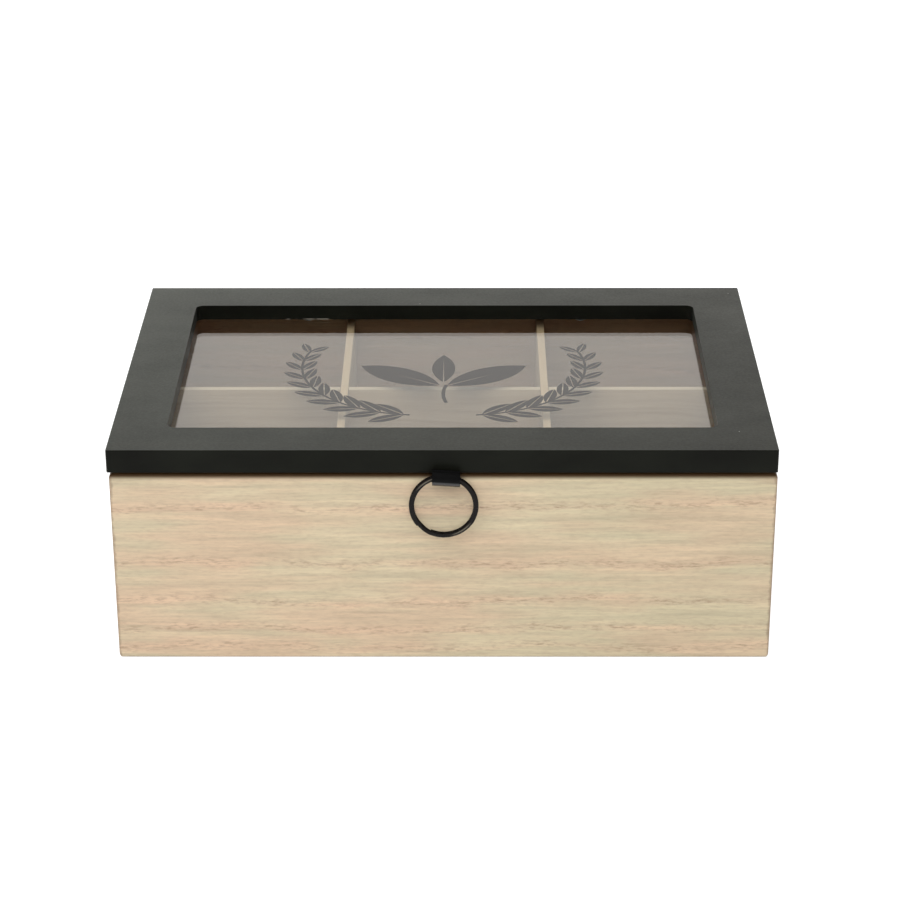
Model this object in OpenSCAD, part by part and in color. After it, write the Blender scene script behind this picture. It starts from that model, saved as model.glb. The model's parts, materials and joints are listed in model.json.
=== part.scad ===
// Tea box: a veneered wooden box of six compartments under a hinged, glazed lid.
// The lid is opened by a split ring that hangs from a folded strap at the front.
// Millimetres. The origin is the middle of the underside, +X right, +Y back, +Z up.

/* [Lid] */
// Width of the lid, left to right
lid_w = 240.5; // [200:0.5:320]
// Depth of the lid, front to back
lid_d = 160; // [130:1:240]
// Width of the rails round the window
rail_w = 20; // [17:0.5:30]
// Thickness of the lip that the glass lies against
lip_t = 6; // [4:0.1:10]
// Rounding of the lid's upright corners
lid_corner_r = 1; // [0.6:0.1:3]
// Easing of the lid's long edges
lid_edge_r = 0.4; // [0.3:0.1:1.5]
// How far the lid sits to the right of the box's middle
lid_shift = -0.35; // [-1:0.05:1]
// Rounding of the window's corners
window_r = 3; // [1:0.5:8]

/* [Glass] */
// Thickness of the glass
glass_t = 2; // [1.5:0.1:4]
// Width of the rebate that holds the glass, beyond the window
rebate_w = 4; // [3:0.5:6]
// Gap between the glass and the rebate, all round
glass_fit = 0.5; // [0.3:0.1:1]
// How far the glass lies inside the lid's underside
glass_inset = 0.8; // [0.6:0.1:3]
// Thickness of the glazing points
point_t = 0.4; // [0.2:0.1:0.5]
// Length of a glazing point along the rebate
point_len = 9; // [6:0.5:12]
// Depth of a glazing point, half of it in the wood
point_depth = 7; // [4:0.5:8]
// Gap round a glazing point in the wood
point_fit = 0.1; // [0.05:0.05:0.2]
// Share of the window's side between the two points on it
point_spread = 0.55; // [0.3:0.05:0.8]

/* [Box] */
// Height of the box walls
box_h = 75; // [50:1:120]
// Thickness of the box walls
wall_t = 6; // [5:0.5:10]
// Thickness of the floor
floor_t = 3; // [2:0.5:6]
// How far the lid stands out over each side
side_overhang = 0.25; // [0:0.05:3]
// How far the lid stands out over the front and the back
front_overhang = 1; // [0:0.1:3]
// Rounding of the box's upright and lower outer edges
box_edge_r = 1; // [0.5:0.1:2]
// Rounding of the box's top outer edges
box_top_r = 2; // [0.5:0.1:2.5]
// Depth of the corner rebates that take the side panels
corner_lap = 3; // [2:0.5:4]
// How far the floor is let into the walls
floor_lap = 3; // [1.5:0.5:4]

/* [Dividers] */
// Thickness of the dividers
divider_t = 3; // [2:0.5:6]
// How far the dividers stop below the rim
divider_drop = 2; // [0:0.5:15]
// Depth of the grooves that hold the dividers' ends
groove_depth = 1.5; // [1:0.25:3]
// Gap at each side of a divider in its groove or lap
divider_fit = 0.1; // [0.05:0.05:0.3]

/* [Hinges] */
// Distance from the side of the box to the middle of a hinge
hinge_inset = 44.5; // [18:0.5:75]
// Length of a hinge along its pin
hinge_len = 20; // [16:1:30]
// Thickness of a hinge leaf; two of them set the seam under the lid
leaf_t = 0.5; // [0.4:0.05:0.8]
// Distance from a leaf's inner edge to the inside of the wall
leaf_margin = 0.7; // [0.2:0.1:1.5]
// Rounding of the leaf's inner corners
leaf_corner_r = 1; // [0.3:0.1:2]
// Radius of the hinge pin
pin_r = 0.7; // [0.5:0.05:1]
// Radial gap between the pin and its knuckles
pin_fit = 0.05; // [0.02:0.01:0.1]
// Length of the lid leaf's middle knuckle
middle_knuckle = 7.6; // [5:0.1:10]
// Gap between neighbouring knuckles
knuckle_gap = 0.2; // [0.1:0.05:0.4]
// Gap between the knuckles and the lid's back face
barrel_gap = 0.25; // [0.2:0.05:1]
// Gap between a leaf and the other leaf's knuckles
turn_gap = 0.3; // [0.2:0.05:0.6]

/* [Screws] */
// Distance between a leaf's two screws
screw_spacing = 12; // [9:0.5:14]
// Length of the screws in the back panel
box_screw_len = 8; // [5:0.5:15]
// Length of the screws in the lid
lid_screw_len = 6; // [4:0.5:7]
// Radius of a screw's shank
screw_r = 0.75; // [0.6:0.05:1]
// Radius of a screw's countersunk head
screw_head_r = 1.4; // [1.2:0.05:1.8]
// Gap round a screw in its hole
screw_fit = 0.05; // [0.02:0.01:0.1]
// Depth of the slot in a screw's head
screw_slot = 0.2; // [0.1:0.05:0.25]

/* [Strap] */
// Width of the strap
strap_w = 10; // [6:0.5:16]
// Thickness of the strap
strap_t = 0.5; // [0.4:0.05:1]
// Distance of the strap from the middle of the box
strap_x = 1.15; // [-10:0.05:10]
// Length of the strap under the lid
strap_tail = 14; // [11:0.5:15]
// Gap between the strap's loop and the lid's front face
loop_gap = 0.25; // [0.2:0.05:1]
// How far the loop hangs below the middle of the seam
loop_drop = 0.45; // [0:0.05:1]
// Gap between the ring's wire and the strap's loop
loop_fit = 0.2; // [0.15:0.01:0.6]
// Distance of the staple from the strap's tail end
staple_margin = 3.5; // [2:0.5:4]
// Width of the staple
staple_w = 6; // [4:0.5:8]
// Length of the staple's legs above the strap
staple_len = 4.5; // [3:0.5:6]
// Radius of the staple's wire
staple_r = 0.3; // [0.2:0.05:0.4]
// Gap round the staple's legs
staple_fit = 0.05; // [0.02:0.01:0.1]

/* [Ring] */
// Outer diameter of the split ring
ring_d = 25; // [20:0.5:32]
// Width of the ring's wire, measured along a radius
wire_w = 1.9; // [1:0.1:2.2]
// Thickness of one turn of the wire
wire_t = 0.8; // [0.5:0.05:1.2]
// Gap between the two turns
turn_space = 0.1; // [0.05:0.05:0.4]
// Distance of the ring from the middle of the strap
ring_shift = -0.9; // [-2:0.1:2]
// Place of the front turn's cut end, in degrees from the right
cut_angle = 219; // [180:1:300]
// Angle over which the wire crosses from the front turn to the back one
cross_angle = 26; // [18:1:40]
// Cross-sections of the wire in a whole turn
turn_steps = 64; // [48:1:90]

/* [Hidden] */
$fn = 48;

// Cuts run past the faces that they open by this much
past = 1;

// The box inside and out
box_w = lid_w - 2 * side_overhang;
box_d = lid_d - 2 * front_overhang;
inner_w = box_w - 2 * wall_t;
inner_d = box_d - 2 * wall_t;
side_d = box_d - 2 * (wall_t - corner_lap);

// The dividers make three columns and two rows of equal compartments
divider_top = box_h - divider_drop;
lap_z = (floor_t + divider_top) / 2;
column_pitch = (inner_w + divider_t) / 3;
slot_w = divider_t + 2 * divider_fit;
held_depth = groove_depth - divider_fit;

// The lid rests on two closed hinge leaves at the back and the folded strap at the front
seam = 2 * leaf_t;
lid_z = box_h + seam;
lid_t = lip_t + glass_t + glass_inset;
glass_z = lid_z + glass_inset;
window_w = lid_w - 2 * rail_w;
window_d = lid_d - 2 * rail_w;
rebate_x = window_w + 2 * rebate_w;
rebate_y = window_d + 2 * rebate_w;

// The hinge line lies behind the lid, at the middle of the seam
hinge_x = box_w / 2 - hinge_inset;
knuckle_r = pin_r + pin_fit + leaf_t;
hinge_y = lid_d / 2 + barrel_gap + knuckle_r;
hinge_z = box_h + leaf_t;
leaf_front = inner_d / 2 + leaf_margin;
leaf_back = hinge_y - knuckle_r - turn_gap;
leaf_screw_y = (inner_d + box_d) / 4;

// The ring hangs with its wire in the middle of the strap's loop, whose bore clears the
// stretch of wire that lies between the strap's edges
ring_r = ring_d / 2;
ring_stack = 2 * wire_t + turn_space;
wire_half_run = strap_w / 2 + abs(ring_shift);
wire_low = sqrt(pow(ring_r - wire_w, 2) - pow(wire_half_run, 2));
ring_hang = (ring_r + wire_low) / 2;
wire_reach = norm([(ring_r - wire_low) / 2, ring_stack / 2]);
loop_r = wire_reach + loop_fit;
loop_y = -lid_d / 2 - loop_gap - loop_r - strap_t;
loop_z = box_h + seam / 2 - loop_drop;
ring_x = strap_x + ring_shift;
ring_z = loop_z - ring_hang;
staple_y = -lid_d / 2 + strap_tail - staple_margin;

// The wire's flat section, in halves of its width and thickness
WIRE_OUTLINE = [
    [1, -0.4], [1, 0.4], [0.6, 1], [-0.6, 1], [-1, 0.4], [-1, -0.4], [-0.6, -1], [0.6, -1]
];
turn_angle = 360 - cross_angle;
wire_angle = 2 * turn_angle + cross_angle;
wire_steps = ceil(turn_steps * wire_angle / 360);

// Shared shapes

module rounded_rect(w, h, r) {
    square([w - 2 * r, h], center = true);
    square([w, h - 2 * r], center = true);
    for (x = [-1, 1], y = [-1, 1])
        translate([x * (w / 2 - r), y * (h / 2 - r)])
            circle(r = r);
}

// A block that stands on z = 0, with rounded upright corners and eased long edges
module eased_block(w, d, h, corner_r, edge_r) {
    intersection() {
        linear_extrude(h)
            rounded_rect(w, d, corner_r);
        translate([0, 0, h / 2])
            rotate([90, 0, 90])
                linear_extrude(w + past, center = true)
                    rounded_rect(d, h, edge_r);
        translate([0, 0, h / 2])
            rotate([90, 0, 0])
                linear_extrude(d + past, center = true)
                    rounded_rect(w, h, edge_r);
    }
}

// An upright outline that stands on the X axis, with rounder corners at its top than below
module wall_outline(w) {
    r = max(box_top_r, box_edge_r);
    translate([0, box_h / 2])
        square([w - 2 * r, box_h], center = true);
    translate([0, box_edge_r + (box_h - box_top_r - box_edge_r) / 2])
        square([w, box_h - box_top_r - box_edge_r], center = true);
    for (x = [-1, 1]) {
        translate([x * (w / 2 - box_top_r), box_h - box_top_r])
            circle(r = box_top_r);
        translate([x * (w / 2 - box_edge_r), box_edge_r])
            circle(r = box_edge_r);
        if (r > box_edge_r)
            translate([x * (w / 2 - r), box_edge_r])
                square([2 * (r - box_edge_r), 2 * box_edge_r], center = true);
        if (r > box_top_r)
            translate([x * (w / 2 - r), box_h - box_top_r])
                square([2 * (r - box_top_r), 2 * box_top_r], center = true);
    }
}

module box_envelope() {
    intersection() {
        linear_extrude(box_h)
            rounded_rect(box_w, box_d, box_edge_r);
        rotate([90, 0, 90])
            linear_extrude(box_w + past, center = true)
                wall_outline(box_d);
        rotate([90, 0, 0])
            linear_extrude(box_d + past, center = true)
                wall_outline(box_w);
    }
}

module plate(from, size) {
    translate(from)
        cube(size);
}

// Box panels

module floor_rebate() {
    w = inner_w + 2 * floor_lap;
    d = inner_d + 2 * floor_lap;
    plate([-w / 2, -d / 2, -past], [w, d, floor_t + past]);
}

// The panel at the front; the back panel is the same shape turned round
module long_panel() {
    side = box_w / 2;
    intersection() {
        box_envelope();
        difference() {
            plate([-side, -box_d / 2, 0], [box_w, wall_t, box_h]);
            floor_rebate();
            for (x = [-side - past, inner_w / 2])
                plate([x, -side_d / 2, -past], [wall_t + past, corner_lap + past, box_h + 2 * past]);
            for (s = [-1, 1])
                translate([s * column_pitch / 2, -inner_d / 2, floor_t])
                    plate([-slot_w / 2, -groove_depth, 0], [slot_w, groove_depth + past, box_h]);
        }
    }
}

module front_panel() {
    color("burlywood")
        long_panel();
}

module back_panel() {
    color("burlywood")
        difference() {
            rotate([0, 0, 180])
                long_panel();
            at_box_screws()
                screw_hole(box_screw_len);
        }
}

module side_panel() {
    intersection() {
        box_envelope();
        difference() {
            plate([-box_w / 2, -side_d / 2, 0], [wall_t, side_d, box_h]);
            floor_rebate();
            plate([-inner_w / 2 - groove_depth, -slot_w / 2, floor_t], [groove_depth + past, slot_w, box_h]);
        }
    }
}

module left_panel() {
    color("wheat")
        side_panel();
}

module right_panel() {
    color("wheat")
        rotate([0, 0, 180])
            side_panel();
}

module floor_panel() {
    w = inner_w + 2 * floor_lap;
    d = inner_d + 2 * floor_lap;
    color("tan")
        plate([-w / 2, -d / 2, 0], [w, d, floor_t]);
}

// Dividers, halved into each other where they cross

module long_divider() {
    w = inner_w + 2 * held_depth;
    color("bisque")
        difference() {
            plate([-w / 2, -divider_t / 2, floor_t], [w, divider_t, divider_top - floor_t]);
            for (s = [-1, 1])
                plate([s * column_pitch / 2 - slot_w / 2, -divider_t, lap_z], [slot_w, 2 * divider_t, box_h]);
        }
}

module cross_divider() {
    d = inner_d + 2 * held_depth;
    difference() {
        plate([-divider_t / 2, -d / 2, floor_t], [divider_t, d, divider_top - floor_t]);
        plate([-divider_t, -slot_w / 2, floor_t - past], [2 * divider_t, slot_w, lap_z - floor_t + past]);
    }
}

module left_cross_divider() {
    color("bisque")
        translate([-column_pitch / 2, 0, 0])
            cross_divider();
}

module right_cross_divider() {
    color("bisque")
        translate([column_pitch / 2, 0, 0])
            cross_divider();
}

// Hinges and their screws

// Each leaf's flat, with its knuckles, drawn below the hinge line at the middle of the hinge
module leaf(knuckles) {
    leaf_len = hinge_len / 2;
    difference() {
        union() {
            translate([0, 0, hinge_z - leaf_t])
                linear_extrude(leaf_t)
                    leaf_outline();
            for (k = knuckles) {
                plate([k[0], leaf_back - past, hinge_z - leaf_t], [k[1] - k[0], hinge_y - leaf_back + past, leaf_t]);
                along_pin(k[0], k[1] - k[0], knuckle_r);
            }
        }
        along_pin(-leaf_len - past, hinge_len + 2 * past, pin_r + pin_fit);
        for (x = [-1, 1])
            translate([x * screw_spacing / 2, leaf_screw_y, hinge_z])
                screw_hole(leaf_t + past);
    }
}

module leaf_outline() {
    translate([-hinge_len / 2, leaf_front + leaf_corner_r])
        square([hinge_len, leaf_back - leaf_front - leaf_corner_r]);
    translate([-hinge_len / 2 + leaf_corner_r, leaf_front])
        square([hinge_len - 2 * leaf_corner_r, leaf_corner_r]);
    for (x = [-1, 1])
        translate([x * (hinge_len / 2 - leaf_corner_r), leaf_front + leaf_corner_r])
            circle(r = leaf_corner_r);
}

module along_pin(x, len, r) {
    translate([x, hinge_y, hinge_z])
        rotate([0, 90, 0])
            cylinder(h = len, r = r);
}

module box_leaf() {
    reach = middle_knuckle / 2 + knuckle_gap;
    color("goldenrod")
        leaf([[-hinge_len / 2, -reach], [reach, hinge_len / 2]]);
}

module lid_leaf() {
    color("gold")
        translate([0, 0, 2 * hinge_z])
            mirror([0, 0, 1])
                leaf([[-middle_knuckle / 2, middle_knuckle / 2]]);
}

module hinge_pin() {
    color("darkgoldenrod")
        along_pin(-hinge_len / 2, hinge_len, pin_r);
}

module left_box_leaf() {
    translate([-hinge_x, 0, 0])
        box_leaf();
}

module right_box_leaf() {
    translate([hinge_x, 0, 0])
        box_leaf();
}

module left_lid_leaf() {
    translate([-hinge_x, 0, 0])
        lid_leaf();
}

module right_lid_leaf() {
    translate([hinge_x, 0, 0])
        lid_leaf();
}

module left_hinge_pin() {
    translate([-hinge_x, 0, 0])
        hinge_pin();
}

module right_hinge_pin() {
    translate([hinge_x, 0, 0])
        hinge_pin();
}

module at_box_screws() {
    for (h = [-1, 1], x = [-1, 1])
        translate([h * hinge_x + x * screw_spacing / 2, leaf_screw_y, hinge_z])
            children();
}

module at_lid_screws() {
    for (h = [-1, 1], x = [-1, 1])
        translate([h * hinge_x + x * screw_spacing / 2, leaf_screw_y, hinge_z])
            mirror([0, 0, 1])
                children();
}

// A countersunk shape that points down from z = 0: head, shank and tip
module screw_shape(len, gap) {
    rotate_extrude()
        polygon([
            [0, 0],
            [screw_head_r + gap, 0],
            [screw_r + gap, -leaf_t],
            [screw_r + gap, -len + screw_r],
            [0, -len - gap]
        ]);
}

module screw_hole(len) {
    screw_shape(len, screw_fit);
}

module screw(len) {
    difference() {
        screw_shape(len, 0);
        translate([-screw_head_r, -screw_slot, -screw_slot])
            cube([2 * screw_head_r, 2 * screw_slot, 2 * screw_slot]);
    }
}

module box_leaf_screws() {
    color("khaki")
        at_box_screws()
            screw(box_screw_len);
}

module lid_leaf_screws() {
    color("khaki")
        at_lid_screws()
            screw(lid_screw_len);
}

// Lid

module lid_frame() {
    rebate_h = glass_t + glass_inset;
    color("dimgray")
        difference() {
            translate([lid_shift, 0, lid_z])
                eased_block(lid_w, lid_d, lid_t, lid_corner_r, lid_edge_r);
            translate([lid_shift, 0, lid_z - past])
                linear_extrude(lid_t + 2 * past)
                    rounded_rect(window_w, window_d, window_r);
            translate([lid_shift, 0, lid_z - past])
                linear_extrude(rebate_h + past)
                    rounded_rect(rebate_x, rebate_y, window_r);
            at_points()
                point(point_fit);
            at_lid_screws()
                screw_hole(lid_screw_len);
            staple_legs(staple_r + staple_fit, staple_fit);
        }
}

module glass_pane() {
    color("lightcyan", 0.5)
        translate([lid_shift, 0, glass_z])
            linear_extrude(glass_t)
                rounded_rect(rebate_x - 2 * glass_fit, rebate_y - 2 * glass_fit, window_r - glass_fit);
}

module at_points() {
    for (x = [-1, 1], y = [-1, 1]) {
        translate([lid_shift + x * window_w * point_spread / 2, y * rebate_y / 2, glass_z])
            children();
        translate([lid_shift + x * rebate_x / 2, y * window_d * point_spread / 2, glass_z])
            rotate([0, 0, 90])
                children();
    }
}

// A diamond of sheet metal under the glass, with half of it in the wood
module point(gap) {
    half_len = point_len / 2 + gap;
    half_depth = point_depth / 2 + gap;
    translate([0, 0, -point_t - gap])
        linear_extrude(point_t + gap)
            polygon([[-half_len, 0], [0, -half_depth], [half_len, 0], [0, half_depth]]);
}

module glazing_points() {
    color("lightsteelblue")
        at_points()
            point(0);
}

// Pull

module along_strap(w) {
    translate([strap_x, 0, 0])
        rotate([90, 0, 90])
            linear_extrude(w, center = true)
                children();
}

// The folded strap from the side: two layers under the lid, and the loop that holds the ring
module strap_profile() {
    difference() {
        union() {
            translate([loop_y, box_h])
                square([strap_tail - lid_d / 2 - loop_y, seam]);
            translate([loop_y, loop_z])
                circle(r = loop_r + strap_t);
        }
        translate([loop_y, loop_z])
            circle(r = loop_r);
        polygon([
            [loop_y, loop_z - loop_r / 2],
            [loop_y, loop_z + loop_r / 2],
            [-lid_d / 2 + strap_t, box_h + seam / 2]
        ]);
    }
}

module pull_strap() {
    color("black")
        difference() {
            along_strap(strap_w)
                strap_profile();
            staple_legs(staple_r + staple_fit, staple_fit);
        }
}

module staple_legs(r, gap) {
    low = box_h - staple_r;
    for (x = [-1, 1])
        translate([strap_x + x * (staple_w / 2 - staple_r), staple_y, low])
            cylinder(h = lid_z - low + staple_len + gap, r = r);
}

module strap_staple() {
    low = box_h - staple_r;
    half = staple_w / 2 - staple_r;
    color("silver") {
        staple_legs(staple_r, 0);
        translate([strap_x - half, staple_y, low])
            rotate([0, 90, 0])
                cylinder(h = 2 * half, r = staple_r);
        for (x = [-half, half])
            translate([strap_x + x, staple_y, low])
                sphere(r = staple_r);
    }
}

// Place across the two turns at an angle along the wire: -1 is the front turn, 1 the back one
function layer_at(t) =
    t < turn_angle ? -1
    : t > turn_angle + cross_angle ? 1
    : -cos(180 * (t - turn_angle) / cross_angle);

function wire_point(t, p) =
    let (
        r = ring_r - wire_w / 2 + p[0] * wire_w / 2,
        y = (layer_at(t) * (wire_t + turn_space) + p[1] * wire_t) / 2
    )
    [r * cos(cut_angle - t), y, r * sin(cut_angle - t)];

// Two turns of flat wire in one unbroken length, swept section by section
module split_ring() {
    sides = len(WIRE_OUTLINE);
    points = [
        for (i = [0:wire_steps], p = WIRE_OUTLINE)
            wire_point(wire_angle * i / wire_steps, p)
    ];
    skin = [
        for (i = [0:wire_steps - 1], j = [0:sides - 1])
            let (
                a = i * sides + j,
                b = i * sides + (j + 1) % sides
            )
            each [[a, b, a + sides], [b, b + sides, a + sides]]
    ];
    last = wire_steps * sides;
    start_cap = [for (j = [1:sides - 2]) [0, j + 1, j]];
    end_cap = [for (j = [1:sides - 2]) [last, last + j, last + j + 1]];
    color("darkslategray")
        translate([ring_x, loop_y, ring_z])
            polyhedron(points, concat(skin, start_cap, end_cap));
}

front_panel();
back_panel();
left_panel();
right_panel();
floor_panel();
long_divider();
left_cross_divider();
right_cross_divider();
left_box_leaf();
right_box_leaf();
box_leaf_screws();
left_hinge_pin();
right_hinge_pin();
lid_frame();
glass_pane();
glazing_points();
left_lid_leaf();
right_lid_leaf();
lid_leaf_screws();
pull_strap();
strap_staple();
split_ring();
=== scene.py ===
"""The looks of a tea bag organizer box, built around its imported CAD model."""

import json
import logging
import math
from collections.abc import Callable
from dataclasses import dataclass
from enum import Enum
from functools import partial

import bmesh
import bpy
from bpy.types import Material, Node, NodeSocket, NodeTree, Object
from mathutils import Matrix, Vector

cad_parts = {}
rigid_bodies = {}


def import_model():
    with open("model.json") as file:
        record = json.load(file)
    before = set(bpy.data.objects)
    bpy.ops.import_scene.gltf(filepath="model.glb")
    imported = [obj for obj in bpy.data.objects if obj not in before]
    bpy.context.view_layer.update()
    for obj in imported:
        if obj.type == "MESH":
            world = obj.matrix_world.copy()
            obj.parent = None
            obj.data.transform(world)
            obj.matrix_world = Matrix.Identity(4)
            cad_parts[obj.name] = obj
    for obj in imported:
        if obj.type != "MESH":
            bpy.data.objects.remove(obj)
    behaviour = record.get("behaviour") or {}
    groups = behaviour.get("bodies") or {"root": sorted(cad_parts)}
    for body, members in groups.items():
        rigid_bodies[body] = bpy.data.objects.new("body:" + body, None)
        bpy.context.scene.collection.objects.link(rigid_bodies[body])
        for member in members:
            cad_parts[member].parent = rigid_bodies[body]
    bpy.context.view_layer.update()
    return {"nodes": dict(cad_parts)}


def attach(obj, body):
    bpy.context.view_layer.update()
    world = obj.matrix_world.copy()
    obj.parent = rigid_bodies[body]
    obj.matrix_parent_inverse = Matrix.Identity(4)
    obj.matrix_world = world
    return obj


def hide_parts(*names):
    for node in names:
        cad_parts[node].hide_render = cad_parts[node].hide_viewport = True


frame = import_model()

MM = 0.001
PER_MM = 1000.0
BOX_LENGTH = 240.0
SMOOTH_ANGLE = 32.0
Pair = tuple[float, float]
Triple = tuple[float, float, float]
Adder = Callable[..., Node]
log = logging.getLogger("tea_box")


class Lie(Enum):
    """How a sheet of wood lies: the axes along its grain, across it and through its thickness."""

    FRONT = ("X", "Z", "Y")
    SIDE = ("Y", "Z", "X")
    FLOOR = ("X", "Y", "Z")


class Body(Enum):
    """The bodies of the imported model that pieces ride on."""

    BOX = "box"
    LID = "lid"
    RING = "ring"


class Element(Enum):
    """The elements of a mesh that can be picked."""

    POINT = "VERT"
    EDGE = "EDGE"


# Helpers for meshes


def deselect_all() -> None:
    """Leaves nothing selected, because an operator acts on all that is."""
    for item in bpy.context.scene.objects:
        item.select_set(False)
    bpy.context.view_layer.objects.active = None


def take(piece: Object) -> None:
    """Makes one piece the only selected and active object.

    Args:
        piece: The object that the next operators work on.
    """
    deselect_all()
    piece.select_set(True)
    bpy.context.view_layer.objects.active = piece


def edit_all(piece: Object) -> None:
    """Opens a piece in edit mode with its whole mesh selected.

    Args:
        piece: The object that the next operators work on.
    """
    take(piece)
    bpy.ops.object.mode_set(mode="EDIT")
    bpy.ops.mesh.select_all(action="SELECT")


def start_piece(name: str) -> Object:
    """Turns the simple shape that was just added into a piece, open in edit mode.

    Args:
        name: The new piece's name.

    Returns:
        The new piece.
    """
    piece = bpy.context.object
    piece.name = name
    bpy.ops.object.transform_apply()
    edit_all(piece)
    return piece


def ease_edges(piece: Object, width: float, angle: float) -> None:
    """Puts a narrow bevel on a piece's sharp edges.

    Args:
        piece: The piece, in object mode.
        width: The bevel's width in millimetres.
        angle: Edges sharper than this many degrees are bevelled.
    """
    bevel = piece.modifiers.new("eased_edges", "BEVEL")
    bevel.width = width * MM
    bevel.segments = 2
    bevel.limit_method = "ANGLE"
    bevel.angle_limit = math.radians(angle)


def pick(piece: Object, kind: Element, test: Callable[[Vector], bool]) -> None:
    """Selects those points or edges of a piece, open in edit mode, that pass a test.

    Args:
        piece: The piece that is open.
        kind: Which of its elements are tested.
        test: Says from an element's middle, in metres, if it is wanted.
    """
    bpy.ops.mesh.select_mode(type=kind.value)
    bpy.ops.mesh.select_all(action="DESELECT")
    net = bmesh.from_edit_mesh(piece.data)
    for item in net.edges if kind is Element.EDGE else net.verts:
        middle = (item.verts[0].co + item.verts[1].co) / 2 if kind is Element.EDGE else item.co
        if test(piece.matrix_world @ middle):
            item.select_set(True)
    bmesh.update_edit_mesh(piece.data)


def settle(piece: Object, angle: float = SMOOTH_ANGLE) -> None:
    """Applies a piece's modifiers and place, closes its doubles and smooths its rounded faces.

    Args:
        piece: The finished piece.
        angle: Edges flatter than this many degrees are shaded smooth.
    """
    take(piece)
    for modifier in list(piece.modifiers):
        bpy.ops.object.modifier_apply(modifier=modifier.name)
    bpy.ops.object.transform_apply()
    edit_all(piece)
    bpy.ops.mesh.remove_doubles(threshold=1e-6)
    bpy.ops.mesh.normals_make_consistent(inside=False)
    bpy.ops.object.mode_set(mode="OBJECT")
    bpy.ops.object.shade_smooth_by_angle(angle=math.radians(angle))
    deselect_all()


def refined_copy(node: str, name: str, bevel: float = 0.0) -> Object:
    """Copies a CAD node, merges its loose triangles and eases its edges, to stand for that node.

    Args:
        node: The CAD node's name.
        name: The new piece's name.
        bevel: Width in millimetres by which sharp edges are eased, or 0.

    Returns:
        The new piece, which replaces the node.
    """
    piece = bpy.data.objects.new(name, frame["nodes"][node].data.copy())
    bpy.context.scene.collection.objects.link(piece)
    take(piece)
    bpy.ops.mesh.customdata_custom_splitnormals_clear()
    edit_all(piece)
    bpy.ops.mesh.remove_doubles(threshold=1e-6)
    bpy.ops.object.mode_set(mode="OBJECT")
    if bevel:
        ease_edges(piece, bevel, 40.0)
        bpy.ops.object.modifier_apply(modifier="eased_edges")
    bpy.ops.object.shade_smooth_by_angle(angle=math.radians(SMOOTH_ANGLE))
    deselect_all()
    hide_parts(node)
    return piece


def finish_piece(piece: Object, material: Material, body: Body) -> None:
    """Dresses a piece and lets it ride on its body.

    Args:
        piece: The finished piece.
        material: Its finish.
        body: The body it moves with.
    """
    piece.data.materials.clear()
    piece.data.materials.append(material)
    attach(piece, body.value)
    log.info("%s: %d faces, on %s", piece.name, len(piece.data.polygons), body.value)


def dress_node(node: str, material: Material) -> None:
    """Puts a finish on a CAD node that stays.

    Args:
        node: The CAD node's name.
        material: Its finish.
    """
    for place in frame["nodes"][node].material_slots:
        place.material = material
    log.info("%s: dressed as it is", node)


# Helpers for materials


def srgb(code: str) -> tuple[float, float, float, float]:
    """Turns an sRGB hex value into the linear colour that Blender works with.

    Args:
        code: Six hex digits.

    Returns:
        Linear red, green, blue and an alpha of 1.
    """
    parts = [int(code[i:i + 2], 16) / 255 for i in (0, 2, 4)]
    linear = [p / 12.92 if p <= 0.04045 else ((p + 0.055) / 1.055) ** 2.4 for p in parts]
    return (linear[0], linear[1], linear[2], 1.0)


def add_node(
        tree: NodeTree, kind: str, inputs: dict | tuple = (), operation: str = "",
        **settings: object) -> Node:
    """Adds a node with its settings, values and links.

    Args:
        tree: The node tree it goes into.
        kind: The node's type, less the ShaderNode that all of them begin with.
        inputs: A value, an output or a node for each input, by name or number or in order. A node
            stands for its first output that is in use, and a text for the sRGB colour of its digits.
        operation: What a mathematical node does.
        settings: The node's other properties.

    Returns:
        The new node.
    """
    node = tree.nodes.new("ShaderNode" + kind)
    if operation:
        node.operation = operation
    for key, value in settings.items():
        setattr(node, key, value)
    pairs = inputs.items() if isinstance(inputs, dict) else enumerate(inputs)
    for key, value in pairs:
        if isinstance(value, str):
            value = srgb(value)
        elif isinstance(value, Node):
            value = next(output for output in value.outputs if output.enabled)
        if isinstance(value, NodeSocket):
            tree.links.new(value, node.inputs[key])
        else:
            node.inputs[key].default_value = value
    return node


def new_material(name: str) -> tuple[Material, Adder]:
    """Starts a material with an empty node tree.

    Args:
        name: The finish's name.

    Returns:
        The material and what adds a node to its tree.
    """
    material = bpy.data.materials.new(name)
    material.use_nodes = True
    material.node_tree.nodes.clear()
    return material, partial(add_node, material.node_tree)


def grain_pattern(
        add: Adder, place: Node, sizes: Triple, detail: float, shift: Triple = (0.0, 0.0, 0.0),
        roughness: float = 0.5) -> Node:
    """Adds a pattern of soft spots that have their own size along each axis, as grain has.

    Args:
        add: Adds a node to the tree.
        place: The place in millimetres.
        sizes: The spots' size in millimetres along each axis.
        detail: How many finer layers lie over the spots.
        shift: Where in the endless pattern it starts.
        roughness: How strong the finer layers are.

    Returns:
        The node that gives the pattern.
    """
    scaled = add("Mapping", {
        "Vector": place, "Location": shift, "Scale": tuple(1 / size for size in sizes)})
    return add("TexNoise", {"Vector": scaled, "Scale": 1.0, "Detail": detail, "Roughness": roughness})


def set_ramp(node: Node, stops: list[Pair]) -> None:
    """Fills a colour ramp with grey stops.

    Args:
        node: The colour ramp.
        stops: Position and grey value of each stop, in rising order.
    """
    ramp = node.color_ramp
    while len(ramp.elements) > 1:
        ramp.elements.remove(ramp.elements[-1])
    ramp.elements[0].position = stops[0][0]
    ramp.elements[0].color = (stops[0][1],) * 3 + (1.0,)
    for position, grey in stops[1:]:
        ramp.elements.new(position).color = (grey, grey, grey, 1.0)


# Finishes


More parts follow.
